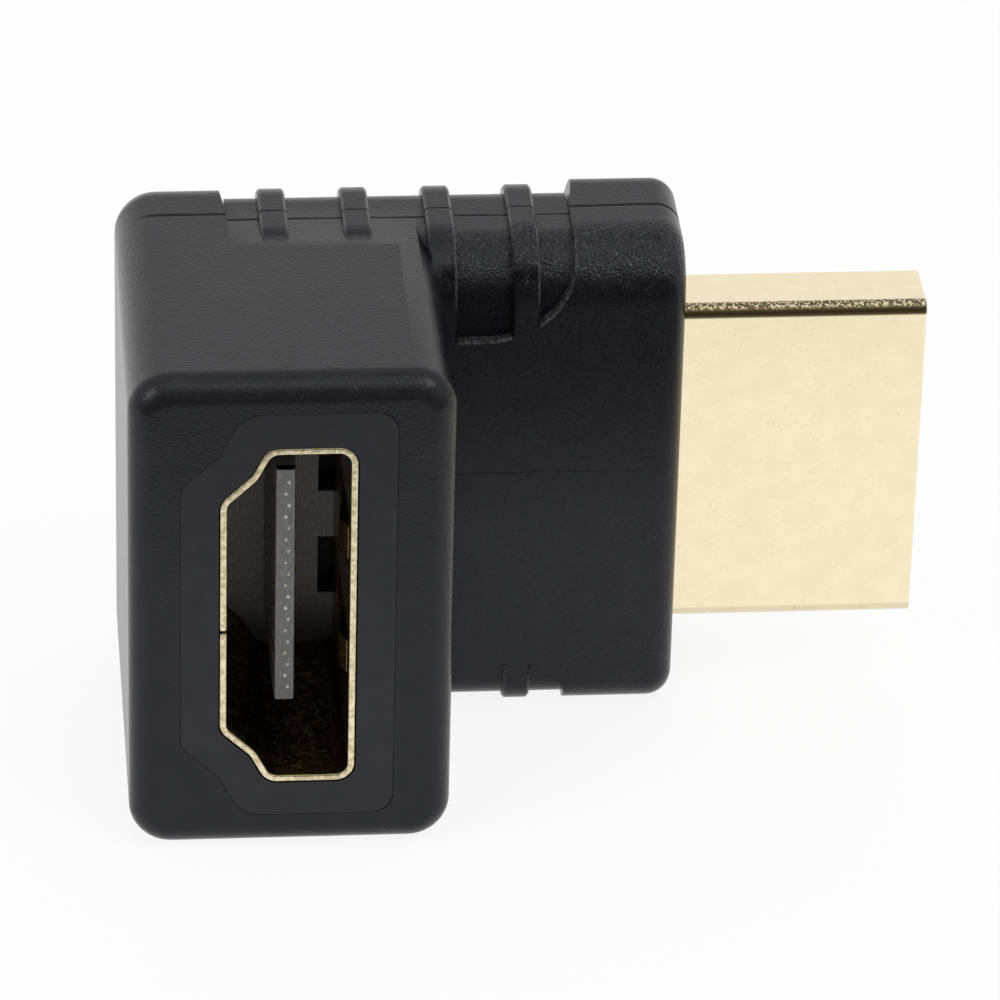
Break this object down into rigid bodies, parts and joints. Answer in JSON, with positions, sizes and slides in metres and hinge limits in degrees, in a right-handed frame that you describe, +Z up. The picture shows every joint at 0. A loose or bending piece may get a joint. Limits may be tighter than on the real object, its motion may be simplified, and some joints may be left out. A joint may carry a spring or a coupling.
{
  "type": "right angle video adapter",
  "caption": "L-shaped moulded adapter: a rectangular digital video socket on one arm turns the signal to a gold plug at right angles, with ribbed grips on both narrow sides.",
  "frame": {"origin": "on the surface the part stands on, under the middle of its bounding box", "axes": "+X the way the plug points, -Y the way the socket faces, +Z up, along the row of contacts"},
  "size_m": [0.031, 0.0162, 0.0205],
  "materials": {
    "soft_black": "matt moulded, finely textured",
    "mould_black": "matt moulded",
    "insulator_black": "matt glass-filled",
    "gold_shell": "gold plated, satin",
    "gold_contact": "gold plated, bright",
    "board_green": "solder resist"
  },
  "bodies": {
    "root": {"overmould": "soft_black", "inner_mould": "mould_black", "socket_shell": "gold_shell", "socket_housing": "insulator_black", "plug_shell": "gold_shell", "plug_housing": "insulator_black", "circuit_board": "board_green", "socket_contact_01": "gold_contact", "socket_contact_02": "gold_contact", "socket_contact_03": "gold_contact", "socket_contact_04": "gold_contact", "socket_contact_05": "gold_contact", "socket_contact_06": "gold_contact", "socket_contact_07": "gold_contact", "socket_contact_08": "gold_contact", "socket_contact_09": "gold_contact", "socket_contact_10": "gold_contact", "socket_contact_11": "gold_contact", "socket_contact_12": "gold_contact", "socket_contact_13": "gold_contact", "socket_contact_14": "gold_contact", "socket_contact_15": "gold_contact", "socket_contact_16": "gold_contact", "socket_contact_17": "gold_contact", "socket_contact_18": "gold_contact", "socket_contact_19": "gold_contact", "plug_contact_01": "gold_contact", "plug_contact_02": "gold_contact", "plug_contact_03": "gold_contact", "plug_contact_04": "gold_contact", "plug_contact_05": "gold_contact", "plug_contact_06": "gold_contact", "plug_contact_07": "gold_contact", "plug_contact_08": "gold_contact", "plug_contact_09": "gold_contact", "plug_contact_10": "gold_contact", "plug_contact_11": "gold_contact", "plug_contact_12": "gold_contact", "plug_contact_13": "gold_contact", "plug_contact_14": "gold_contact", "plug_contact_15": "gold_contact", "plug_contact_16": "gold_contact", "plug_contact_17": "gold_contact", "plug_contact_18": "gold_contact", "plug_contact_19": "gold_contact"}
  },
  "joints": []
}
